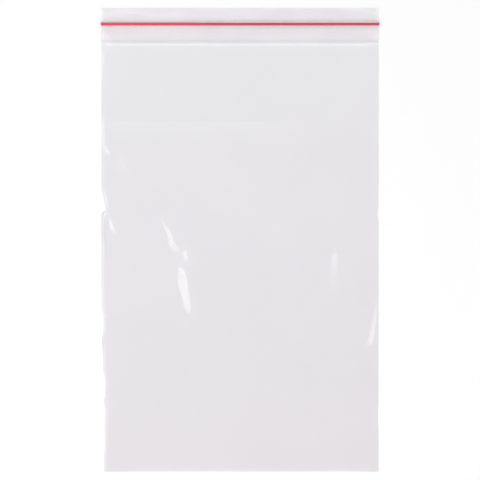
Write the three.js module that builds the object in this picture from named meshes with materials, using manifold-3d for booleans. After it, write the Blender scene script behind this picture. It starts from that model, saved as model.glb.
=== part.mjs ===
// A clear press-zip bag, empty, pressed shut and lying on its back panel. One web of film is
// folded at the bottom and welded down both sides. Inside its mouth, a tape with a groove is
// bonded to the back panel and a tape with a red rib to the front panel.
// Millimetres, +Z up, mouth towards +Y, origin under the middle of the bag.
import * as THREE from "three";
import { mergeVertices } from "three/addons/utils/BufferGeometryUtils.js";
import Module from "manifold-3d";

const wasm = await Module();
wasm.setup();

// The bag
const BAG_WIDTH = 150; // across both side welds
const BAG_LENGTH = 250; // bottom fold to mouth
const FILM = 0.05; // thickness of one wall
const SIDE_WELD = 1.2; // width of the fused strip down each side

// The little air left between the panels lifts the front one
const AIR_GAP = 3.2; // between the panels in the middle of the bag
const SIDE_SLOPE = 24; // width over which the front panel rises from a side weld
const FOLD_SLOPE = 20; // length over which it rises from the bottom fold
const BAND_SLOPE = 18; // length over which it rises from the tapes' lower edges
const SLOPE_STEPS = 6; // flat facets in each of those rises

// The two zip tapes
const LIP = 8.7; // mouth to the middle of the zip
const SKIRT = 10.1; // middle of the zip to the tapes' lower edges
const TAPE = 0.1; // thickness of a tape away from the zip
const MOUTH_GAP = 0.35; // between the tapes at the mouth
const SKIRT_GAP = 0.6; // between the tapes at their lower edges
const BOND = 0.02; // bond line between a tape and the film

// The red rib on the front tape
const RIB_HEAD = 1.5; // width of the head
const RIB_STEM = 0.7; // width of the stem
const HEAD_DEPTH = 0.5; // shoulder to tip
const HEAD_TIP = 0.6; // width of the flat at the tip

// The groove on the back tape
const JAW_WALL = 0.45;
const HOOK_DEPTH = 0.3; // depth of the inward lip that the head snaps under
const HOOK_ROUND = 0.12; // radius of the hook's edge
const FOOT_DEPTH = 0.2; // the thick foot that the jaws stand on
const FOOT_LEDGE = 0.55; // foot that shows outside each jaw

const RUNNING = 0.15; // clearance between rib and groove, all round

// Places across the zip, measured from its middle
const grooveHalf = RIB_HEAD / 2 + RUNNING;
const jawOuter = grooveHalf + JAW_WALL;
const footHalf = jawOuter + FOOT_LEDGE;
const hookTip = RIB_STEM / 2 + RUNNING;

// Heights in the zip, measured from the underside of the back tape
const footTop = TAPE + FOOT_DEPTH;
const headTip = footTop + RUNNING;
const headShoulder = headTip + HEAD_DEPTH;
const hookUnder = headShoulder + RUNNING;
const jawTop = hookUnder + HOOK_DEPTH;
const ribRoot = jawTop + RUNNING;

// Places along the bag
const mouthY = BAG_LENGTH / 2;
const foldY = -BAG_LENGTH / 2;
const zipY = mouthY - LIP;
const skirtY = zipY - SKIRT;
const innerHalf = BAG_WIDTH / 2 - SIDE_WELD;

// Places from one to another, both ends included.
function stations(from, to, steps) {
  return Array.from({ length: steps + 1 }, (_, i) => from + ((to - from) * i) / steps);
}

// Free height between the two tapes at a distance v from the middle of the zip, positive
// towards the mouth. The zip holds them apart, and they close up on either side of it.
function tapeGap(v) {
  const [reach, endGap] = v > 0 ? [LIP, MOUTH_GAP] : [SKIRT, SKIRT_GAP];
  const closed = THREE.MathUtils.smoothstep(Math.abs(v), footHalf, reach);
  return THREE.MathUtils.lerp(ribRoot - TAPE, endGap, closed);
}

const bandStations = [
  ...stations(-SKIRT, -footHalf, SLOPE_STEPS),
  ...stations(footHalf, LIP, SLOPE_STEPS),
];

// A film rises steeply from a seam and levels out: share of the full height at a share of
// the slope.
const rise = (share) => 1 - (1 - THREE.MathUtils.clamp(share, 0, 1)) ** 2;

// Free height between the panels' inner faces.
function panelGap(x, y) {
  const fromWeld = Math.max(innerHalf - Math.abs(x), 0);
  const fromFold = Math.max(y - foldY - FILM, 0);
  const pillow = AIR_GAP * rise(fromWeld / SIDE_SLOPE) * rise(fromFold / FOLD_SLOPE);
  const band = tapeGap(y - zipY) + 2 * (TAPE + BOND);
  return THREE.MathUtils.lerp(band, pillow, rise((skirtY - y) / BAND_SLOPE));
}

// A closed block over a grid of x and y stations, flat at floorZ below, with its top at
// heightAt(x, y). Where the top meets the floor the block thins out to an edge.
function reliefBlock(xs, ys, floorZ, heightAt) {
  const points = [];
  const known = new Map();
  const faces = [];
  const vertex = (x, y, z) => {
    const key = [x, y, z].map((value) => value.toFixed(5)).join();
    if (!known.has(key)) {
      known.set(key, points.length / 3);
      points.push(x, y, z);
    }
    return known.get(key);
  };
  const triangle = (...corners) => {
    if (new Set(corners).size === 3) faces.push(...corners);
  };
  const quad = (a, b, c, d) => {
    triangle(a, b, c);
    triangle(a, c, d);
  };
  const low = (i, j) => vertex(xs[i], ys[j], floorZ);
  const high = (i, j) => vertex(xs[i], ys[j], heightAt(xs[i], ys[j]));
  const lastX = xs.length - 1;
  const lastY = ys.length - 1;
  for (let i = 0; i < lastX; i++) {
    for (let j = 0; j < lastY; j++) {
      quad(high(i, j), high(i + 1, j), high(i + 1, j + 1), high(i, j + 1));
      quad(low(i, j), low(i, j + 1), low(i + 1, j + 1), low(i + 1, j));
    }
    quad(low(i, 0), low(i + 1, 0), high(i + 1, 0), high(i, 0));
    quad(low(i + 1, lastY), low(i, lastY), high(i, lastY), high(i + 1, lastY));
  }
  for (let j = 0; j < lastY; j++) {
    quad(low(0, j + 1), low(0, j), high(0, j), high(0, j + 1));
    quad(low(lastX, j), low(lastX, j + 1), high(lastX, j + 1), high(lastX, j));
  }
  const geometry = new THREE.BufferGeometry();
  geometry.setAttribute("position", new THREE.Float32BufferAttribute(points, 3));
  geometry.setIndex(faces);
  return geometry;
}

function solidOf(geometry) {
  const bare = geometry.clone();
  bare.deleteAttribute("normal");
  bare.deleteAttribute("uv");
  const merged = mergeVertices(bare, 1e-4);
  return new wasm.Manifold(
    new wasm.Mesh({
      numProp: 3,
      vertProperties: merged.attributes.position.array,
      triVerts: new Uint32Array(merged.index.array),
    }),
  );
}

function geometryOf(solid) {
  const mesh = solid.getMesh();
  const geometry = new THREE.BufferGeometry();
  geometry.setAttribute("position", new THREE.BufferAttribute(mesh.vertProperties, 3));
  geometry.setIndex(new THREE.BufferAttribute(mesh.triVerts, 1));
  geometry.computeVertexNormals();
  return geometry;
}

// The film: the bag's outline less the space inside, which runs out through the mouth, and
// less the zip where it passes through the side welds.
function filmPouch(zipSolids) {
  const left = stations(-innerHalf, -innerHalf + SIDE_SLOPE, SLOPE_STEPS);
  const innerXs = [...left, ...left.map((x) => -x).reverse()];
  const innerYs = [
    ...stations(foldY + FILM, foldY + FILM + FOLD_SLOPE, SLOPE_STEPS),
    ...stations(skirtY - BAND_SLOPE, skirtY, SLOPE_STEPS).slice(0, -1),
    ...bandStations.map((v) => zipY + v),
  ];
  const outside = reliefBlock(
    [-BAG_WIDTH / 2, ...innerXs, BAG_WIDTH / 2],
    [foldY, ...innerYs],
    0,
    (x, y) => 2 * FILM + panelGap(x, y),
  );
  const pastMouth = mouthY + 1;
  const inside = reliefBlock(
    innerXs,
    [...innerYs, pastMouth],
    FILM,
    (x, y) => FILM + panelGap(x, y),
  );
  const pouch = solidOf(outside).subtract(solidOf(inside));
  return zipSolids.reduce((film, zipSolid) => film.subtract(zipSolid), pouch);
}

// A section across the zip, run along the whole width of the bag. The section's x points to
// the mouth and its y away from the back panel.
const alongWidth = new THREE.Matrix4().makeBasis(
  new THREE.Vector3(0, 1, 0),
  new THREE.Vector3(0, 0, 1),
  new THREE.Vector3(1, 0, 0),
);

function strip(section) {
  const geometry = new THREE.ExtrudeGeometry(section, {
    depth: BAG_WIDTH,
    bevelEnabled: false,
    curveSegments: 5,
  });
  geometry.translate(0, 0, -BAG_WIDTH / 2);
  return geometry.applyMatrix4(alongWidth);
}

// Flat tape on the back panel, with a thick foot and two hooked jaws.
function grooveSection() {
  const jawCorner = jawOuter - JAW_WALL;
  const hookMiddle = hookTip + HOOK_ROUND;
  const hookTop = jawTop - HOOK_ROUND;
  const shape = new THREE.Shape();
  shape.moveTo(-SKIRT, 0);
  shape.lineTo(LIP, 0);
  shape.lineTo(LIP, TAPE);
  shape.lineTo(footHalf, TAPE);
  shape.lineTo(footHalf - FOOT_DEPTH, footTop);
  shape.lineTo(jawOuter, footTop);
  shape.lineTo(jawOuter, hookUnder);
  shape.quadraticCurveTo(jawOuter, jawTop, jawCorner, jawTop);
  shape.lineTo(hookMiddle, jawTop);
  shape.absarc(hookMiddle, hookTop, HOOK_ROUND, Math.PI / 2, Math.PI, false);
  shape.lineTo(grooveHalf, hookUnder);
  shape.lineTo(grooveHalf, footTop);
  shape.lineTo(-grooveHalf, footTop);
  shape.lineTo(-grooveHalf, hookUnder);
  shape.absarc(-hookMiddle, hookTop, HOOK_ROUND, 0, Math.PI / 2, false);
  shape.lineTo(-jawCorner, jawTop);
  shape.quadraticCurveTo(-jawOuter, jawTop, -jawOuter, hookUnder);
  shape.lineTo(-jawOuter, footTop);
  shape.lineTo(-footHalf + FOOT_DEPTH, footTop);
  shape.lineTo(-footHalf, TAPE);
  shape.lineTo(-SKIRT, TAPE);
  return shape;
}

// Tape under the front panel, humped over the zip.
function ribTapeSection() {
  const under = bandStations.map((v) => new THREE.Vector2(v, TAPE + tapeGap(v)));
  const upper = under.map(({ x, y }) => new THREE.Vector2(x, y + TAPE)).reverse();
  return new THREE.Shape([...under, ...upper]);
}

// Stem and arrow head, hanging from the front tape into the groove.
function ribSection() {
  const shape = new THREE.Shape();
  shape.moveTo(-RIB_STEM / 2, ribRoot);
  shape.lineTo(-RIB_STEM / 2, headShoulder);
  shape.lineTo(-RIB_HEAD / 2, headShoulder);
  shape.quadraticCurveTo(-RIB_HEAD / 2, headTip, -HEAD_TIP / 2, headTip);
  shape.lineTo(HEAD_TIP / 2, headTip);
  shape.quadraticCurveTo(RIB_HEAD / 2, headTip, RIB_HEAD / 2, headShoulder);
  shape.lineTo(RIB_STEM / 2, headShoulder);
  shape.lineTo(RIB_STEM / 2, ribRoot);
  return shape;
}

const clearFilm = new THREE.MeshStandardMaterial({
  color: 0xe9e9ec,
  roughness: 0.18,
  metalness: 0,
  transparent: true,
  opacity: 0.35,
});
const clearTape = clearFilm.clone();
clearTape.opacity = 0.5;
const redPlastic = new THREE.MeshStandardMaterial({
  color: 0xe2405a,
  roughness: 0.35,
  metalness: 0,
});

function part(name, geometry, material) {
  const mesh = new THREE.Mesh(geometry, material);
  mesh.name = name;
  return mesh;
}

const zip = new THREE.Group();
zip.position.set(0, zipY, FILM + BOND);
zip.add(
  part("groove_tape", strip(grooveSection()), clearTape),
  part("rib_tape", strip(ribTapeSection()), clearTape),
  part("red_rib", strip(ribSection()), redPlastic),
);

const zipSolids = zip.children.map((mesh) =>
  solidOf(mesh.geometry.clone().translate(...zip.position.toArray())),
);
const bag = new THREE.Group();
bag.add(part("film_pouch", geometryOf(filmPouch(zipSolids)), clearFilm), zip);

export default bag;
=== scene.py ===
import math

import bpy
import numpy as np
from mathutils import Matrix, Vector, noise


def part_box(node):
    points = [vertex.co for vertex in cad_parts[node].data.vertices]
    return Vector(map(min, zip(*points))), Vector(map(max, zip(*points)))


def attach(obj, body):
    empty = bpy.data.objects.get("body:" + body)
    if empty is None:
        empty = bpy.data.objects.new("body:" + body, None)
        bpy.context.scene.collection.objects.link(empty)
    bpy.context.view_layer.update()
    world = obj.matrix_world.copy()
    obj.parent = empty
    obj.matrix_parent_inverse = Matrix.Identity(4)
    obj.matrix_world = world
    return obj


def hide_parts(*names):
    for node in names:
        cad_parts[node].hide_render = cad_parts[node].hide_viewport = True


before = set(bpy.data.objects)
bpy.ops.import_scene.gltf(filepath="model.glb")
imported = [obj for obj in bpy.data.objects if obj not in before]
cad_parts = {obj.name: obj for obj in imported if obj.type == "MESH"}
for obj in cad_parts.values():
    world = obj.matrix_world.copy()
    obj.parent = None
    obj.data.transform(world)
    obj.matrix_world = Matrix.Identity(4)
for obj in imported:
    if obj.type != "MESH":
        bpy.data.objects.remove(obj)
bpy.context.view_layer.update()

# The groove tape
# A flat strip of clear low-density polyethylene, extruded with a thick foot and two hooked
# jaws that hold the rib. It is bonded to the inside of the back panel.
MM = 0.001
JAW_MIDDLE, JAW_REACH = 0.95, 0.42  # the jaws' hooks, each side of the middle of the zip, painted pink with the rib's glow
FOOT_HALF, FOOT_REACH = 1.9, 0.5  # each edge of the foot, and the painted shade line along it
SHADE_LINE_IN, EDGE_REACH = 0.9, 1.2  # how far inside its cut edge a tape shows a painted shade line
RIB_GLOW_REACH = 6.0  # how far the rib's painted red glow reaches into a tape
OVER_RIB_REACH = 1.8  # how far off the middle a tape is clearer over the rib
SKIRT_FROM, SKIRT_TO = -1, -3  # below the zip the tone of the lip turns into that of the skirt
PRESSED_FROM, PRESSED_TO = -45, 5  # across here the zip goes from lightly shut to pressed home
LIGHTLY_SHUT = 0.2  # how strong the foot's painted shade lines are where the zip is lightly shut
TAPE_LINES = 0.7  # width of the die lines, drawn coarser than real ones so that they show
TAPE_PATCHES = 22
DRAWN_OUT = 50  # how many times longer than wide the die lines are
MIRRORED, MIRRORED_MORE = 0.04, 0.8  # share of light thrown back straight on, and more at a slant
SLANT_POWER = 5.0

rib_low, rib_high = (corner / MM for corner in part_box("red_rib"))
tape_low, tape_high = (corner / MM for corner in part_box("rib_tape"))
zip_line = (rib_low.y + rib_high.y) / 2
tape_edge = tape_low.y
mouth = tape_high.y
half_width = tape_high.x


def linear(hex_colour):
    """An sRGB hex colour as linear red, green, blue and alpha."""
    shares = [int(hex_colour[i : i + 2], 16) / 255 for i in (1, 3, 5)]
    return [s / 12.92 if s <= 0.04045 else ((s + 0.055) / 1.055) ** 2.4 for s in shares] + [1]


def add_node(tree, kind, values):
    """Adds a node. Each value sets a field of its own or an input, or links another's output."""
    node = tree.nodes.new(kind)
    for name, value in values.items():
        if isinstance(name, str) and hasattr(node, name):
            setattr(node, name, value)
        elif isinstance(value, bpy.types.NodeSocket):
            tree.links.new(value, node.inputs[name])
        else:
            node.inputs[name].default_value = value
    return node


def empty_material(name):
    """A new material with no nodes in it, and its node tree."""
    material = bpy.data.materials.new(name)
    material.use_nodes = True
    material.node_tree.nodes.clear()
    return material, material.node_tree


def stripe(tree, value, middle, reach):
    """A soft line, 1 where a value is at its middle and 0 from its reach outwards."""
    offset = add_node(tree, "ShaderNodeMath", {"operation": "SUBTRACT", 0: value, 1: middle * MM})
    away = add_node(tree, "ShaderNodeMath", {"operation": "ABSOLUTE", 0: offset.outputs[0]})
    line = add_node(tree, "ShaderNodeMapRange", {
        "interpolation_type": "SMOOTHSTEP", "Value": away.outputs[0],
        "From Min": 0.0, "From Max": reach * MM, "To Min": 1.0, "To Max": 0.0})
    return line.outputs["Result"]


def mixed_colours(tree, base, layers):
    """Lays colours over a base one, each by its mask."""
    colour = base
    for mask, layer in layers:
        over = add_node(tree, "ShaderNodeMix", {"data_type": "RGBA", 0: mask, 6: colour, 7: layer})
        colour = over.outputs[2]
    return colour


def summed(tree, base, terms):
    """Adds masks to a base number, each by its own amount."""
    total = base
    for mask, amount in terms:
        step = add_node(tree, "ShaderNodeMath", {"operation": "MULTIPLY_ADD", 0: mask, 1: amount, 2: total})
        total = step.outputs[0]
    return total


def speckle(tree, point, size, low, high):
    """A cloudy pattern with features of a size in millimetres, from 0 to 1."""
    cloud = add_node(tree, "ShaderNodeTexNoise", {"Vector": point, "Scale": 1 / (size * MM), "Detail": 1.0})
    spread = add_node(tree, "ShaderNodeMapRange", {
        "Value": cloud.outputs["Fac"], "From Min": low, "From Max": high})
    return spread.outputs["Result"]


def clear_plastic(tree, gloss, tint, haze, haze_colour, roughness, normal):
    """Thin clear plastic: what shows through it, the haze inside it and the gloss on top."""
    facing = add_node(tree, "ShaderNodeLayerWeight", {"Blend": 0.5})
    grazing = add_node(tree, "ShaderNodeMath", {
        "operation": "POWER", 0: facing.outputs["Facing"], 1: SLANT_POWER})
    steep = add_node(tree, "ShaderNodeMath", {
        "operation": "MULTIPLY_ADD", 0: grazing.outputs[0], 1: MIRRORED_MORE, 2: MIRRORED})
    mirror = add_node(tree, "ShaderNodeMath", {"operation": "MULTIPLY", 0: steep.outputs[0], 1: gloss})
    through = add_node(tree, "ShaderNodeBsdfTransparent", {"Color": tint})
    inside = add_node(tree, "ShaderNodeBsdfDiffuse", {"Color": haze_colour})
    body = add_node(tree, "ShaderNodeMixShader", {0: haze, 1: through.outputs[0], 2: inside.outputs[0]})
    top = add_node(tree, "ShaderNodeBsdfGlossy", {"Roughness": roughness, "Normal": normal})
    both = add_node(tree, "ShaderNodeMixShader", {
        0: mirror.outputs[0], 1: body.outputs[0], 2: top.outputs[0]})
    add_node(tree, "ShaderNodeOutputMaterial", {"Surface": both.outputs[0]})


def pressed_home(tree, axes):
    """How far the zip is pressed home, from 0 on the bag's left to 1 on its right."""
    share = add_node(tree, "ShaderNodeMapRange", {
        "interpolation_type": "SMOOTHSTEP", "Value": axes.outputs["X"],
        "From Min": PRESSED_FROM * MM, "From Max": PRESSED_TO * MM})
    return share.outputs["Result"]


# Extruded LDPE tape, clear and a little milky: lavender on the lip and pinker on the skirt below
# the zip. Painted light: the jaws that hold the rib are pink with its glow, and its red glow spreads
# into the tape. Painted shade: blue-grey lines along the foot where the zip is pressed home, and a darker
# line inside the cut edge.
def tape_look(name):
    material, tree = empty_material(name)
    place = add_node(tree, "ShaderNodeTexCoord", {}).outputs["Object"]
    axes = add_node(tree, "ShaderNodeSeparateXYZ", {0: place})
    from_zip = add_node(tree, "ShaderNodeMath", {
        "operation": "SUBTRACT", 0: axes.outputs["Y"], 1: zip_line * MM})
    away = add_node(tree, "ShaderNodeMath", {"operation": "ABSOLUTE", 0: from_zip.outputs[0]}).outputs[0]
    drawn = add_node(tree, "ShaderNodeMapping", {"Vector": place, "Scale": (1 / DRAWN_OUT, 1, 1)})
    lines = speckle(tree, drawn.outputs[0], TAPE_LINES, 0.35, 0.65)
    patches = speckle(tree, place, TAPE_PATCHES, 0.4, 0.6)
    # The jaws are painted pink, a glow of the rib's red light in the clear hooks.
    jaw_painted_glow = stripe(tree, away, JAW_MIDDLE, JAW_REACH)
    # Painted shade: blue-grey lines along the foot's walls, faint where the zip is lightly shut.
    foot_painted_shade = stripe(tree, away, FOOT_HALF, FOOT_REACH)
    foot_shade_share = summed(tree, LIGHTLY_SHUT, [(pressed_home(tree, axes), 1 - LIGHTLY_SHUT)])
    foot_painted_shade = add_node(tree, "ShaderNodeMath", {
        "operation": "MULTIPLY", 0: foot_painted_shade, 1: foot_shade_share}).outputs[0]
    # Painted shade: a darker line just inside the tapes' cut edge.
    cut_edge_painted_shade = stripe(tree, axes.outputs["Y"], tape_edge + SHADE_LINE_IN, EDGE_REACH)
    # Painted glow: the rib's red light spread into the clear tape.
    rib_painted_glow = stripe(tree, away, 0.0, RIB_GLOW_REACH)
    over_rib = stripe(tree, away, 0.0, OVER_RIB_REACH)
    skirt = add_node(tree, "ShaderNodeMapRange", {
        "Value": from_zip.outputs[0], "From Min": SKIRT_FROM * MM, "From Max": SKIRT_TO * MM})
    skirt = skirt.outputs["Result"]
    haze = summed(tree, 0.002, [
        (patches, 0.006), (jaw_painted_glow, 0.13), (foot_painted_shade, 0.026), (cut_edge_painted_shade, 0.015), (rib_painted_glow, 0.009),
        (skirt, 0.0035), (over_rib, -0.014)])
    colour = mixed_colours(tree, linear("#e494f0"), [
        (skirt, linear("#d890c4")), (rib_painted_glow, linear("#e8a6b6")), (jaw_painted_glow, linear("#ffc0ca")),
        (foot_painted_shade, linear("#50647c")), (cut_edge_painted_shade, linear("#807c94"))])
    relief = add_node(tree, "ShaderNodeBump", {"Distance": 0.006 * MM, "Height": lines})
    clear_plastic(tree, 0.1, linear("#ffffff"), haze, colour, 0.25, relief.outputs[0])
    return material


groove_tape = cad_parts["groove_tape"]
groove_tape.data.materials.clear()
groove_tape.data.materials.append(tape_look("extruded LDPE groove tape"))

# The rib tape
# The same clear strip on the front panel, 0.1 mm thick. It humps over the zip and closes up
# towards the mouth, where its soft lip has been pulled about by fingers and waves a little.
TAPE = 0.1
MOUTH_HEIGHT = 0.95  # top of the tape at the mouth
EDGE_HEIGHT = 0.87  # top of the tape at its lower edge
CRUSHED = 0.28  # top of the tape where the side welds press it onto the groove tape
WELD_REACH = 5.0  # how far in from a side weld the tapes stay pressed together
CRUSHED_STRIP = 0.6  # the outermost strip, which is crushed flat
SHOULDER, SHOULDER_WIDTH, SHOULDER_DROP = 0.6, 0.45, 0.14  # the tape dips beside the pressed rib
LEAST_DIP = 0.3  # share of that dip where the zip is lightly shut
CREASED_FROM, CREASED_TO = 1, 3  # the creases come in between these, out from the foot
TAPE_COLUMNS, TAPE_ROWS = 200, 86
SMOOTH_UNDER = 50  # a bend of fewer degrees than this is shaded smooth

# Each crease is a low ridge. On its left or right side (1 or -1) a flat flank falls away, and
# the other side fades. A station holds x, y, the flank's width and the ridge's rise.
LIP_CREASES = [
    (1, [(-70, 120.6, 0.4, 0), (-66, 121.0, 2.2, 0.68), (-60, 122.4, 2.6, 0.74), (-55, 122.8, 0.6, 0)]),
    (-1, [(-50, 122.6, 0.4, 0), (-44, 123.1, 1.4, 0.35), (-39, 122.9, 0.4, 0)]),
    (-1, [(-29, 122.7, 0.4, 0), (-20, 122.9, 1.5, 0.35), (-8, 122.9, 1.3, 0.3), (-3, 122.8, 0.4, 0)]),
    (1, [(11.6, 121.4, 0.4, 0), (13.6, 122.6, 1.6, 0.68), (17, 124.2, 1.6, 0.54)]),
    (-1, [(24, 122.9, 0.4, 0), (32, 122.8, 1.5, 0.46), (39, 122.6, 0.4, 0)]),
    (-1, [(50, 123.6, 0.4, 0), (57, 123.4, 2.4, 0.74), (64, 122, 2.4, 0.68), (70, 120.6, 0.5, 0)]),
    (1, [(73.2, 125, 1.2, 0.41), (73.2, 121.6, 1.2, 0.41), (73.4, 119.6, 0.6, 0)]),
    (-1, [(67, 114, 0.5, 0), (70.6, 112.2, 1.5, 0.46), (73.2, 109.2, 1.8, 0.56), (74.8, 105.6, 1.2, 0.3)]),
]
LIP_FADE = 2.6  # how far a crease fades out behind its ridge
BLEND = 1.5  # how far from a ridge its stations blend into each other
LEAST_WEIGHT = 1e-12  # keeps a point far from every station from dividing by zero


def smooth(low, high, value):
    """0 where a value is low and 1 where it is high, eased at both ends."""
    share = np.clip((value - low) / (high - low), 0, 1)
    return share * share * (3 - 2 * share)


def creases(x, y, ridges, fade):
    """Height that a list of creases adds at each point."""
    height = np.zeros(x.shape)
    for steep_side, stops in ridges:
        near = np.full(x.shape, np.inf)
        side, width, rise, shared, weights = (np.zeros(x.shape) for _ in range(5))
        for (ax, ay, a_width, a_rise), (bx, by, b_width, b_rise) in zip(stops, stops[1:]):
            length = math.dist((ax, ay), (bx, by))
            tx, ty = (bx - ax) / length, (by - ay) / length
            run = np.clip((x - ax) * tx + (y - ay) * ty, 0, length)
            dx, dy = x - ax - run * tx, y - ay - run * ty
            away = np.hypot(dx, dy)
            closer = away < near
            near = np.where(closer, away, near)
            side = np.where(closer, np.sign(tx * dy - ty * dx) * away * steep_side, side)
            width = np.where(closer, a_width + (b_width - a_width) * run / length, width)
            rise_here = a_rise + (b_rise - a_rise) * run / length
            rise = np.where(closer, rise_here, rise)
            weight = np.exp(-away / BLEND)
            shared += weight * rise_here
            weights += weight
        flank = 1 - np.clip(side / width, 0, 1)
        # Behind the ridge its stations blend into each other, so that no step runs off a bend.
        blended = shared / np.maximum(weights, LEAST_WEIGHT)
        behind = rise + (blended - rise) * np.clip(-side / BLEND, 0, 1)
        height += np.where(side > 0, rise * flank, behind * np.exp(-((side / fade) ** 2)))
    return height


def front_tape_top(x, y):
    """Height of the rib tape's upper face."""
    from_zip = y - zip_line
    loose = smooth(0, WELD_REACH, half_width - CRUSHED_STRIP - np.abs(x))
    to_mouth = smooth(FOOT_HALF, mouth - zip_line, from_zip)
    to_edge = smooth(FOOT_HALF, zip_line - tape_edge, -from_zip)
    mouth_drop = tape_high.z - (CRUSHED + (MOUTH_HEIGHT - CRUSHED) * loose)
    edge_drop = tape_high.z - (CRUSHED + (EDGE_HEIGHT - CRUSHED) * loose)
    off_foot = smooth(FOOT_HALF + CREASED_FROM, FOOT_HALF + CREASED_TO, np.abs(from_zip))
    home = LEAST_DIP + (1 - LEAST_DIP) * smooth(PRESSED_FROM, PRESSED_TO, x)
    dip = SHOULDER_DROP * np.clip((np.abs(from_zip) - SHOULDER) / SHOULDER_WIDTH, 0, 1)
    dip *= home * (1 - to_mouth) * (1 - to_edge)
    height = tape_high.z - mouth_drop * to_mouth - edge_drop * to_edge - dip
    return height + creases(x, y, LIP_CREASES, LIP_FADE) * off_foot


def read_points(piece):
    """A piece's points, one to a row, as its mesh holds them."""
    coords = np.empty(len(piece.data.vertices) * 3)
    piece.data.vertices.foreach_get("co", coords)
    return coords.reshape(-1, 3)


def move_points(piece, *axes):
    """Puts a piece's points at x, y and z in millimetres."""
    piece.data.vertices.foreach_set("co", (np.stack(axes, 1) * MM).astype(np.float32).ravel())
    piece.data.update()


def give_wall(piece, thickness, group=None, least=1.0):
    """Thickens a sheet about its middle, by its vertex group where it has one."""
    bpy.ops.object.mode_set(mode="EDIT")
    bpy.ops.mesh.select_all(action="SELECT")
    bpy.ops.mesh.normals_make_consistent(inside=False)
    bpy.ops.object.mode_set(mode="OBJECT")
    wall = piece.modifiers.new("wall", "SOLIDIFY")
    wall.thickness = thickness * MM
    wall.offset = 0
    wall.use_even_offset = False
    if group:
        wall.vertex_group = group
        wall.thickness_vertex_group = least
    bpy.ops.object.modifier_apply(modifier="wall")
    bpy.ops.object.shade_smooth_by_angle(angle=math.radians(SMOOTH_UNDER))


bpy.ops.object.select_all(action="DESELECT")
bpy.ops.mesh.primitive_grid_add(
    x_subdivisions=TAPE_COLUMNS, y_subdivisions=TAPE_ROWS, size=1,
    location=(0, (tape_edge + mouth) / 2 * MM, 0))
bpy.ops.transform.resize(value=(2 * half_width * MM, (mouth - tape_edge) * MM, 1))
bpy.ops.object.transform_apply(location=True, rotation=False, scale=True)
rib_tape = bpy.context.object
rib_tape.name = "rib_tape_strip"
x, y = read_points(rib_tape)[:, :2].T / MM
move_points(rib_tape, x, y, front_tape_top(x, y) - TAPE / 2)
give_wall(rib_tape, TAPE)
rib_tape.data.materials.append(tape_look("extruded LDPE rib tape"))
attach(rib_tape, "root")
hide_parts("rib_tape")

# The red rib
# A stem with an arrow head, extruded of coloured polyethylene onto the front tape. Pressed
# into the groove it reads as one red line, which says at a glance that the bag is shut.
THIN_FROM, THIN_TO = 0.38, 0.62  # off the middle, the head thins out between these
RIB_LINES = 0.3  # width of the die lines, drawn coarser than real ones so that they show
STREAK_STRENGTH = 0.25

# Red LDPE, waxy and a little see-through: clearer and pinker where its head thins out to the
# edges, and darker along the middle towards the bag's right, where it is pressed home.
material, tree = empty_material("red pigmented LDPE")
place = add_node(tree, "ShaderNodeTexCoord", {}).outputs["Object"]
axes = add_node(tree, "ShaderNodeSeparateXYZ", {0: place})
from_zip = add_node(tree, "ShaderNodeMath", {
    "operation": "SUBTRACT", 0: axes.outputs["Y"], 1: zip_line * MM})
away = add_node(tree, "ShaderNodeMath", {"operation": "ABSOLUTE", 0: from_zip.outputs[0]}).outputs[0]
thin = add_node(tree, "ShaderNodeMapRange", {
    "Value": away, "From Min": THIN_FROM * MM, "From Max": THIN_TO * MM}).outputs["Result"]
drawn = add_node(tree, "ShaderNodeMapping", {"Vector": place, "Scale": (1 / DRAWN_OUT, 1, 1)})
lines = speckle(tree, drawn.outputs[0], RIB_LINES, 0.35, 0.65)
streak = add_node(tree, "ShaderNodeMath", {
    "operation": "MULTIPLY", 0: lines, 1: STREAK_STRENGTH}).outputs[0]
colour = mixed_colours(tree, linear("#ff4864"), [
    (pressed_home(tree, axes), linear("#de4058")), (streak, linear("#e04058")),
    (thin, linear("#ffa8b6"))])
relief = add_node(tree, "ShaderNodeBump", {"Distance": 0.004 * MM, "Height": lines})
haze = summed(tree, 0.97, [(thin, -0.2)])
clear_plastic(tree, 0.3, linear("#ff8c9c"), haze, colour, 0.38, relief.outputs[0])
red_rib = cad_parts["red_rib"]
red_rib.data.materials.clear()
red_rib.data.materials.append(material)

# The film pouch
# One web of clear low-density polyethylene, blown thin, folded once at the bottom and cut and
# welded down both sides with a hot blade. It lies slack, with a little air and a few buckles.
FILM = 0.05
BEAD = 0.12  # the film where the blade has melted its edge
BEAD_REACH = (0.6, 0.1)  # in from the edge, the bead swells up between these
FLAT = 1.5 * FILM  # middle of the front panel's film where it lies flat on the back one
WELD = 1.2  # width of a side weld
BOND = 0.02  # bond line between a tape and the film
FOLD_RADIUS = 0.1
FOLD_STATIONS = 7
APART = 0.01  # least gap between the two panels
AIR = 0.95  # rise of the front panel in the middle of the bag
SIDE_SLOPE, FOLD_SLOPE, BAND_SLOPE = 32, 34, 20  # how far in it rises from welds, fold and band
STEP_DOWN, STEP_REACH = 0.5, 2.1  # its drop off the tapes' lower edge, and how far that takes
HELD = 0.7  # a buckle flattens out this near to a weld
# Slow waves all over and short puckers along the welds: rise, then size across, along and seed.
WAVE_RISE, WAVES = 0.3, (34, 46, 3.1)
PUCKER_RISE, PUCKERS = 0.16, (30, 6, 8.7)
PUCKER_REACH, PUCKER_START = 5, 1.5

fold = (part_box("film_pouch")[0] / MM).y

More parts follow.
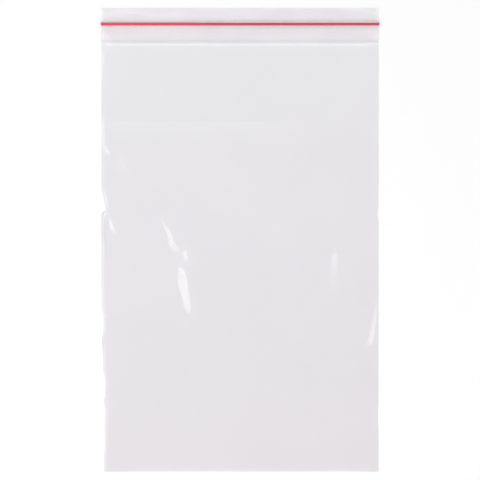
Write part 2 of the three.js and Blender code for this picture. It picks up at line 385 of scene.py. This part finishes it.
# The buckles, with stations as on the lip. The wide ones lie out in the panel, and the small
# ones run in from the welds.
BUCKLES = [
    (-1, [(-41, 8.8, 0.4, 0.1), (-40, 7.4, 1.2, 0.42), (-37.9, 5, 1.8, 0.66), (-36.7, 2.6, 2.3, 0.82),
          (-36.3, 1.1, 2.3, 0.8), (-35.9, 0.1, 4.2, 0.66), (-34.2, -1.8, 4.4, 0.69), (-31.6, -4, 4.4, 0.67),
          (-29.4, -5.2, 4, 0.62), (-28.6, -6.4, 2, 0.68), (-28.3, -8.6, 2.1, 0.76), (-28.2, -11.6, 2.1, 0.76),
          (-28.5, -13.6, 5.6, 0.88), (-30.6, -15.3, 2.9, 1), (-28.9, -19.1, 4.6, 1.58),
          (-28.1, -22.6, 5.6, 1.88), (-27.9, -26.4, 4.6, 1.56), (-27.5, -29.9, 3.9, 1.34),
          (-26.9, -32.8, 3.3, 1.11), (-26.8, -35.4, 4, 0.72), (-26.6, -41.5, 1, 0)]),
    (-1, [(-65.4, 53, 0.5, 0), (-63, 46.5, 3.6, 0.38), (-61, 40.5, 3.8, 0.4), (-59.6, 34, 0.6, 0)]),
    (1, [(52.8, -4.6, 0.5, 0), (48.6, -9.4, 5.6, 1), (47.4, -13.5, 6.9, 1.21), (46.6, -18.9, 7.1, 1.24),
         (45.2, -23.2, 7.1, 1.24), (43.6, -27.2, 5.4, 0.94), (41, -35, 2, 0)]),
]
BUCKLE_FADE = 16
WELD_BUCKLES = [
    (-1, [(-74.2, 94.4, 0.5, 0.1), (-73, 92.2, 0.9, 0.32), (-72, 90, 0.5, 0)]),
    (-1, [(-74.2, 54.4, 0.6, 0.1), (-73, 51.4, 1.5, 0.54), (-71.6, 48.8, 1.8, 0.64), (-70.2, 45.8, 0.6, 0)]),
    (-1, [(-73.4, 24, 0.6, 0.1), (-72.6, 19.5, 1.6, 0.54), (-72.4, 16, 1.6, 0.54), (-73, 13.4, 0.8, 0.1)]),
    (-1, [(-70.2, 12.4, 0.4, 0), (-69.2, 9.8, 1.3, 0.46), (-68.4, 6.8, 1.6, 0.56), (-67.8, 3.4, 0.5, 0)]),
    (1, [(73.4, -31, 0.4, 0), (72.4, -41, 1.5, 0.36), (69.8, -49.5, 3.2, 0.78), (68.4, -54.6, 3.4, 0.82),
         (67.2, -60, 1.4, 0)]),
]
WELD_FADE = 4

# How far the side welds wander in from a straight line: distance below the mouth, and how
# far in. The left one is puckered halfway down and drawn in below.
LEFT_WANDER = [(0, 0.3), (10, 0.5), (20, 0.45), (60, 0.25), (72, 0.35), (97, 0.3), (101.5, 1.2), (107, 2.4),
               (108.8, 2.5), (110.2, 0.5), (113, 0.1), (150, 0.3), (163, 0.5), (166, 1.4), (175, 1.3),
               (178, 0.5), (181, 0.4), (184, 0.9), (196, 1.1), (199, 2.2), (208, 2.5), (212, 1.6),
               (216, 2.4), (222, 2), (238, 2.2), (242, 1.5), (250, 1.5)]
RIGHT_WANDER = [(0, 0.2), (99, 0.2), (100.4, 0.7), (101.6, 0.25), (108.4, 0.25), (110, 0.9), (113, 0.6),
                (115, 0.2), (215, 0.3), (219, 0.6), (222.5, 0.6), (224, 0.2), (250, 0.2)]
WANDER_REACH = 14  # how far in the film is drawn along with the weld
RAGGED = 0.16  # how rough the lower part of the left weld is
RAGGED_FROM = (150, 180)  # below the mouth, the roughness starts between these
RAGGEDNESS = (1, 6, 5.2)  # size across, along and seed
# A light fold at the band's right end, painted in as clearer film for a highlight. Its rise is how clear.
FOLD_HIGHLIGHT = [
    (1, [(66.6, 113.2, 0.5, 0), (69.6, 112.4, 0.8, 0.8), (73, 111, 0.9, 1), (74.6, 108.4, 0.8, 1),
         (74.9, 105.6, 0.6, 0.8)]),
]
FOLD_HIGHLIGHT_HALF = 0.6

# Where the film is clearer or hazier, which makes it lighter or darker. Clearer strips along the left
# weld, at the band's ends, at the top right corner and below the tapes are painted highlights. Each pair
# is a soft limit, from where a strip is nothing to where it is full: in from the cut edge, or along the bag.
LEFT_STRIP, RIGHT_STRIP, RIGHT_CLEARNESS = (2.2, 1.2), (1.5, 0.9), 0.25
# The left strip, a painted highlight, comes and goes in patches: its least share, their wave, and the wave's
# limits.
STRIP_LEAST, STRIP_PATCHES, STRIP_LIMITS = 0.4, (1, 15, 1.4), (-0.15, 0.25)
GAP_MIDDLE, GAP_HALF = 75, 8  # here the left weld shows no painted highlight strip
END_STRIP = (2, 1.4)  # painted highlights at the band's left end and the top right corner
BAND_END_FROM, BAND_END_TO = (0, 1.5), (1, 2.5)  # above the tapes' lower edge, and below the zip
CORNER_FROM = (5, 4)  # below the mouth
UNDER_TAPES_FROM, UNDER_TAPES_TO = (-0.1, 0.2), (2.2, 1.6)  # a thin painted highlight strip below the tapes' edge
HIGHLIGHT_CLEARNESS, UNDER_TAPES_CLEARNESS = 1.2, 0.25
DARKER_OUTER, DARKER_INNER = (1.3, 1.8), (3.2, 2.6)  # the film is hazier and so darker in a strip inside the pucker
DARKER_TOP, DARKER_FOOT, DARKER_HAZE = (14, 10), (-6, 0), 0.35


def smooth_noise(x, y, x_size, y_size, seed):
    """A slow random wave, from about -1 to 1, with a size across and a size along the bag."""
    points = zip(x / x_size, y / y_size)
    return np.array([noise.noise(Vector((a, b, seed))) for a, b in points])


def front_height(x, y):
    """Height of the middle of the front panel's film."""
    from_weld = np.maximum(half_width - WELD - np.abs(x), 0)
    loose = smooth(0, WELD_REACH, from_weld)
    leaving = tape_edge - y
    into_bag = smooth(0, BAND_SLOPE, leaving)
    side_rise = 1 - (1 - np.clip(from_weld / SIDE_SLOPE, 0, 1)) ** 2
    fold_rise = 1 - (1 - np.clip((y - fold) / FOLD_SLOPE, 0, 1)) ** 2
    slack = side_rise * fold_rise
    lying = FLAT + AIR * slack
    buckled = creases(x, y, BUCKLES, BUCKLE_FADE) + creases(x, y, WELD_BUCKLES, WELD_FADE)
    lying += buckled * np.clip(from_weld / HELD, 0, 1)
    lying += WAVE_RISE * smooth_noise(x, y, *WAVES) * slack
    near_weld = np.exp(-from_weld / PUCKER_REACH) * np.clip(from_weld / PUCKER_START, 0, 1)
    lying += PUCKER_RISE * smooth_noise(x, y, *PUCKERS) * near_weld * fold_rise
    lying = np.maximum(lying, FLAT)
    over_band = front_tape_top(x, y) + BOND + FILM / 2
    step = STEP_DOWN * smooth(0, STEP_REACH, leaving) * loose
    below_band = FLAT + (over_band - step - FLAT) * np.where(leaving > 0, loose, 1)
    return below_band * (1 - into_bag) + lying * into_bag


def spaced(*stretches):
    """Places from the first to the last, each stretch with its own spacing."""
    places = []
    for a, b, gap in stretches:
        steps = max(1, round(abs(b - a) / gap))
        places.append(np.linspace(a, b, steps, endpoint=False))
    return np.concatenate([*places, [stretches[-1][1]]])


# Stations across the web and along it, closer where the film bends more. Each stretch holds
# where it starts, where it ends and its spacing.
side_steps = np.array([0, 0.35, 0.75])
inner = half_width - WELD
columns = np.concatenate([
    side_steps - half_width,
    spaced((-inner, -68, 0.45), (-68, -58, 1.3), (-58, -43, 2.5), (-43, -25, 0.45), (-25, 9, 3.4),
           (9, 19, 1.2), (19, 43, 3.4), (43, 56, 1.2), (56, 67, 2), (67, inner, 0.6)),
    (half_width - side_steps)[::-1],
])
back_rows = spaced(
    (mouth, mouth - 96, 5), (mouth - 96, mouth - 114, 1), (mouth - 114, fold + FOLD_RADIUS, 3))
arc = np.radians(np.linspace(-90, 90, FOLD_STATIONS))[1:-1]
front_rows = spaced(
    (fold + FOLD_RADIUS, -60, 3), (-60, -40, 1.2), (-40, 10, 0.5), (10, 26, 0.6), (26, 36, 1.6),
    (36, 44, 1), (44, 55, 0.5), (55, 98, 4), (98, tape_edge - 3, 1.2),
    (tape_edge - 3, tape_edge + 1, 0.35), (tape_edge + 1, zip_line - 2.2, 0.6),
    (zip_line - 2.2, zip_line + 2.2, 0.22), (zip_line + 2.2, mouth, 0.6))
row_count = len(back_rows) + len(arc) + len(front_rows)

bpy.ops.object.select_all(action="DESELECT")
bpy.ops.mesh.primitive_grid_add(x_subdivisions=len(columns) - 1, y_subdivisions=row_count - 1)
film = bpy.context.object
film.name = "film_pouch_skin"

grid = read_points(film)
column = np.rint((grid[:, 0] + 1) / 2 * (len(columns) - 1)).astype(int)
row = np.rint((grid[:, 1] + 1) / 2 * (row_count - 1)).astype(int)
x = columns[column]
bead = smooth(*BEAD_REACH, half_width - np.abs(x))
thickness = FILM + (BEAD - FILM) * bead
y = np.empty(x.shape)
z = np.empty(x.shape)
on_back = row < len(back_rows)
y[on_back] = back_rows[row[on_back]]
z[on_back] = thickness[on_back] / 2
on_arc = (row >= len(back_rows)) & (row < len(back_rows) + len(arc))
turn = arc[row[on_arc] - len(back_rows)]
y[on_arc] = fold + FOLD_RADIUS - (FOLD_RADIUS - FILM / 2) * np.cos(turn)
z[on_arc] = thickness[on_arc] + 0.5 * thickness[on_arc] * np.sin(turn)
on_front = row >= len(back_rows) + len(arc)
y[on_front] = front_rows[row[on_front] - len(back_rows) - len(arc)]
z[on_front] = np.maximum(front_height(x[on_front], y[on_front]), 1.5 * thickness[on_front] + APART)
from_edge = half_width - np.abs(x)

below = mouth - y
ragged = RAGGED * smooth(*RAGGED_FROM, below) * smooth_noise(x * 0, y, *RAGGEDNESS)
left_in = np.interp(below, *zip(*LEFT_WANDER)) + ragged
right_in = np.interp(below, *zip(*RIGHT_WANDER))
pull = np.clip(1 - from_edge / WANDER_REACH, 0, 1) ** 2
x = x + np.where(x < 0, left_in, -right_in) * pull
move_points(film, x, y, z)

edge_group = film.vertex_groups.new(name="bead")
for index, weight in enumerate(bead):
    edge_group.add([index], float(weight), "REPLACE")
# The left strip is made clearer in patches, a painted highlight for light its weld throws back.
on_left = grid[:, 0] < 0
patchy = smooth(*STRIP_LIMITS, smooth_noise(y * 0, y, *STRIP_PATCHES))
patchy = STRIP_LEAST + (1 - STRIP_LEAST) * patchy
patchy *= 1 - np.exp(-((y - GAP_MIDDLE) / GAP_HALF) ** 2)
right_strip = RIGHT_CLEARNESS * smooth(*RIGHT_STRIP, from_edge)
welded = np.where(on_left, smooth(*LEFT_STRIP, from_edge) * patchy, right_strip)
# Painted highlights: clearer film at the band's left end, the top right corner and the fold at the band's
# right end.
end_strip = smooth(*END_STRIP, from_edge)
band_end = end_strip * on_left * smooth(*BAND_END_FROM, y - tape_edge) * smooth(*BAND_END_TO, zip_line - y)
corner = end_strip * ~on_left * smooth(*CORNER_FROM, mouth - y)
painted_highlights = np.maximum.reduce([band_end, corner, creases(x, y, FOLD_HIGHLIGHT, FOLD_HIGHLIGHT_HALF)])
# Painted highlight: a clearer strip just below the tapes' edge.
under_tapes = smooth(*UNDER_TAPES_FROM, tape_edge - y) * smooth(*UNDER_TAPES_TO, tape_edge - y)
# A hazier, darker strip inside the pucker.
darker_strip = smooth(*DARKER_OUTER, from_edge) * smooth(*DARKER_INNER, from_edge) * on_left
darker_strip *= smooth(*DARKER_TOP, y) * smooth(*DARKER_FOOT, y)
clearer = np.maximum.reduce([welded, HIGHLIGHT_CLEARNESS * painted_highlights, UNDER_TAPES_CLEARNESS * under_tapes])
clearer -= DARKER_HAZE * darker_strip
mark = film.data.attributes.new("clearer", "FLOAT", "POINT")
mark.data.foreach_set("value", clearer.astype(np.float32))
give_wall(film, BEAD, "bead", FILM / BEAD)

FILM_LINES, FILM_DRAWN_OUT = 1.6, 100  # die lines, drawn coarser than real ones so that they show
CLOUDS = 60
GEL_SPACING, GEL_SIZE = 16, 0.45  # hard specks in the film, drawn large enough to show
GEL_RARITY = 0.88  # share of the pattern's cells that hold no speck
OVER_ZIP_REACH = 2  # how far off the middle of the zip the film is clearer
GLEAM_OUT, GLEAM_REACH = 0.3, 0.35  # the film's gleam beside the rib, off the shoulder's start
SHADE_REACH, SHADE_SLANT = 155, -0.12  # painted shade: the haze grows from mouth to fold, and a little to the right
CRIMP_TOP, CRIMP_FOOT = 63.6, 54  # between these the film was bent in its stack, and is clearer
CRIMP_EDGE = 0.4  # how softly that strip ends at its top
CRIMP_END, CRIMP_FADE = 46, 30  # where it ends on the right, and how long it takes to fade

# Blown LDPE film, clear with a faint grey-violet haze. Painted shade makes it hazier, darker and pinker
# towards the fold and a little to the right. It shows die lines along the bag's width, clouds, a few gels,
# and clearer strips along the welds, at the band's ends and below the tapes; all but the right weld's are
# painted highlights.
material, tree = empty_material("blown LDPE film")
place = add_node(tree, "ShaderNodeTexCoord", {}).outputs["Object"]
axes = add_node(tree, "ShaderNodeSeparateXYZ", {0: place})
clouds = speckle(tree, place, CLOUDS, 0.35, 0.65)
drawn = add_node(tree, "ShaderNodeMapping", {"Vector": place, "Scale": (1 / FILM_DRAWN_OUT, 1, 1)})
lines = speckle(tree, drawn.outputs[0], FILM_LINES, 0.3, 0.7)
clearer = add_node(tree, "ShaderNodeAttribute", {"attribute_name": "clearer"}).outputs["Fac"]
over_zip = stripe(tree, axes.outputs["Y"], zip_line, OVER_ZIP_REACH)
from_zip = add_node(tree, "ShaderNodeMath", {
    "operation": "SUBTRACT", 0: axes.outputs["Y"], 1: zip_line * MM})
away = add_node(tree, "ShaderNodeMath", {"operation": "ABSOLUTE", 0: from_zip.outputs[0]}).outputs[0]
gleam = stripe(tree, away, SHOULDER + GLEAM_OUT, GLEAM_REACH)
gleam = add_node(tree, "ShaderNodeMath", {
    "operation": "MULTIPLY", 0: gleam, 1: pressed_home(tree, axes)}).outputs[0]
# Painted shade: more haze and a pinker haze colour towards the fold and a little to the right.
slant = add_node(tree, "ShaderNodeMath", {
    "operation": "MULTIPLY_ADD", 0: axes.outputs["X"], 1: SHADE_SLANT, 2: axes.outputs["Y"]})
painted_shade_to_fold = add_node(tree, "ShaderNodeMapRange", {
    "Value": slant.outputs[0], "From Min": SHADE_REACH * MM, "From Max": -SHADE_REACH * MM})
painted_shade_to_fold = painted_shade_to_fold.outputs["Result"]
cells = add_node(tree, "ShaderNodeTexVoronoi", {"Vector": place, "Scale": 1 / (GEL_SPACING * MM)})
pick = add_node(tree, "ShaderNodeSeparateColor", {0: cells.outputs["Color"]}).outputs["Red"]
rare = add_node(tree, "ShaderNodeMath", {"operation": "GREATER_THAN", 0: pick, 1: GEL_RARITY})
gel = add_node(tree, "ShaderNodeMapRange", {
    "Value": cells.outputs["Distance"], "From Min": GEL_SIZE / GEL_SPACING, "From Max": 0.0})
gel = add_node(tree, "ShaderNodeMath", {
    "operation": "MULTIPLY", 0: gel.outputs["Result"], 1: rare.outputs[0]}).outputs[0]
bonded = add_node(tree, "ShaderNodeMath", {
    "operation": "GREATER_THAN", 0: axes.outputs["Y"], 1: tape_edge * MM}).outputs[0]
gloss = summed(tree, 1.0, [(bonded, -0.5), (over_zip, -0.15), (gleam, 0.9), (clearer, -0.3)])
crimp = 1.0
for axis, start, full in [
        ("Y", CRIMP_TOP + CRIMP_EDGE, CRIMP_TOP), ("Y", CRIMP_FOOT, CRIMP_TOP),
        ("X", CRIMP_END, CRIMP_END - CRIMP_FADE)]:
    limit = add_node(tree, "ShaderNodeMapRange", {
        "Value": axes.outputs[axis], "From Min": start * MM, "From Max": full * MM})
    crimp = add_node(tree, "ShaderNodeMath", {
        "operation": "MULTIPLY", 0: crimp, 1: limit.outputs["Result"]}).outputs[0]
haze = summed(tree, 0.0204, [
    (clouds, 0.003), (painted_shade_to_fold, 0.0186), (crimp, -0.005), (gel, 0.1), (clearer, -0.018), (over_zip, -0.02)])
colour = mixed_colours(tree, linear("#c0b8d0"), [(painted_shade_to_fold, linear("#c6aac6")), (gel, linear("#8a8078"))])
relief = add_node(tree, "ShaderNodeBump", {"Distance": 0.002 * MM, "Height": lines})
clear_plastic(tree, gloss, linear("#fefefe"), haze, colour, 0.15, relief.outputs[0])
film.data.materials.append(material)

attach(film, "root")
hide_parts("film_pouch")

# The table
# A matt white board, which the bag lies on. Its own light only makes it read as white to the
# camera and in reflections, and the bag's shadow still falls on it.
BOARD_SIDE = 8  # metres
BOARD_DROP = 0.05  # so that the film's underside doesn't cut into it
BOARD_GLOW = 0.203


def seen_as_white(tree):
    """1 for a ray from the camera, a gloss or through a clear piece, and 0 for the rest."""
    rays = add_node(tree, "ShaderNodeLightPath", {}).outputs
    seen = add_node(tree, "ShaderNodeMath", {
        "operation": "MAXIMUM", 0: rays["Is Camera Ray"], 1: rays["Is Glossy Ray"]})
    seen = add_node(tree, "ShaderNodeMath", {
        "operation": "MAXIMUM", 0: seen.outputs[0], 1: rays["Is Transmission Ray"]})
    return seen.outputs[0]


bpy.ops.mesh.primitive_plane_add(size=BOARD_SIDE, location=(0, 0, -BOARD_DROP * MM))
table = bpy.context.object
table.name = "table"
# Flat white emulsion paint, which scatters light evenly and has no shine.
material, tree = empty_material("matt white board")
lift = add_node(tree, "ShaderNodeMath", {
    "operation": "MULTIPLY", 0: seen_as_white(tree), 1: BOARD_GLOW})
paint = add_node(tree, "ShaderNodeBsdfDiffuse", {"Color": linear("#f3f3f3")})
glow = add_node(tree, "ShaderNodeEmission", {"Strength": lift.outputs[0]})
both = add_node(tree, "ShaderNodeAddShader", {0: paint.outputs[0], 1: glow.outputs[0]})
add_node(tree, "ShaderNodeOutputMaterial", {"Surface": both.outputs[0]})
table.data.materials.append(material)

# The room and its lamps
# White walls, and four softboxes that stand round the camera. They lie well off overhead, so
# that flat film stays grey and only the flanks of the buckles throw their light back.
ROOM_LIGHT = 0.27
LAMP_DISTANCE = 1.3  # metres
LAMP_TILT = 38  # degrees off straight overhead
# Each has its name, its direction round the bag in degrees, its side in metres and its power.
LAMPS = [
    ("left", 205, 0.95, 7.0),
    ("right", -10, 0.6, 2.3),
    ("foot", -80, 0.6, 2.5),
    ("head", 95, 0.7, 3.2),
]
room = bpy.data.worlds.new("white room")
bpy.context.scene.world = room
room.use_nodes = True
tree = room.node_tree
tree.nodes.clear()
level = add_node(tree, "ShaderNodeMath", {
    "operation": "MULTIPLY_ADD", 0: seen_as_white(tree), 1: 1 - ROOM_LIGHT, 2: ROOM_LIGHT})
walls = add_node(tree, "ShaderNodeBackground", {
    "Color": linear("#ffffff"), "Strength": level.outputs[0]})
add_node(tree, "ShaderNodeOutputWorld", {"Surface": walls.outputs[0]})
for name, azimuth, side, power in LAMPS:
    lamp = bpy.data.lights.new("softbox_" + name, "AREA")
    lamp.shape = "SQUARE"
    lamp.size = side
    lamp.energy = power
    softbox = bpy.data.objects.new("softbox_" + name, lamp)
    bpy.context.scene.collection.objects.link(softbox)
    tilt = math.radians(LAMP_TILT)
    turn = math.radians(azimuth)
    aim = Vector((math.sin(tilt) * math.cos(turn), math.sin(tilt) * math.sin(turn), math.cos(tilt)))
    softbox.location = aim * LAMP_DISTANCE
    softbox.rotation_euler = aim.to_track_quat("Z", "Y").to_euler()
    softbox.visible_camera = False

# The camera
# It looks straight down from high up. Light may pass through many clear walls in a row, as it
# has to get down through the film and both tapes and back up again.
PICTURE_SIDE = 258.6  # how much of the table the picture takes in
CAMERA_HEIGHT = 3000
FARTHEST = 50  # metres
WALLS_DEEP = 32
lens = bpy.data.cameras.new("camera")
lens.angle = 2 * math.atan(PICTURE_SIDE / 2 / CAMERA_HEIGHT)
lens.clip_end = FARTHEST
camera = bpy.data.objects.new("camera", lens)
bpy.context.scene.collection.objects.link(camera)
camera.location = (0, 0, CAMERA_HEIGHT * MM)
bpy.context.scene.camera = camera
bpy.context.scene.cycles.transparent_max_bounces = WALLS_DEEP
bpy.context.scene.view_settings.view_transform = "Standard"
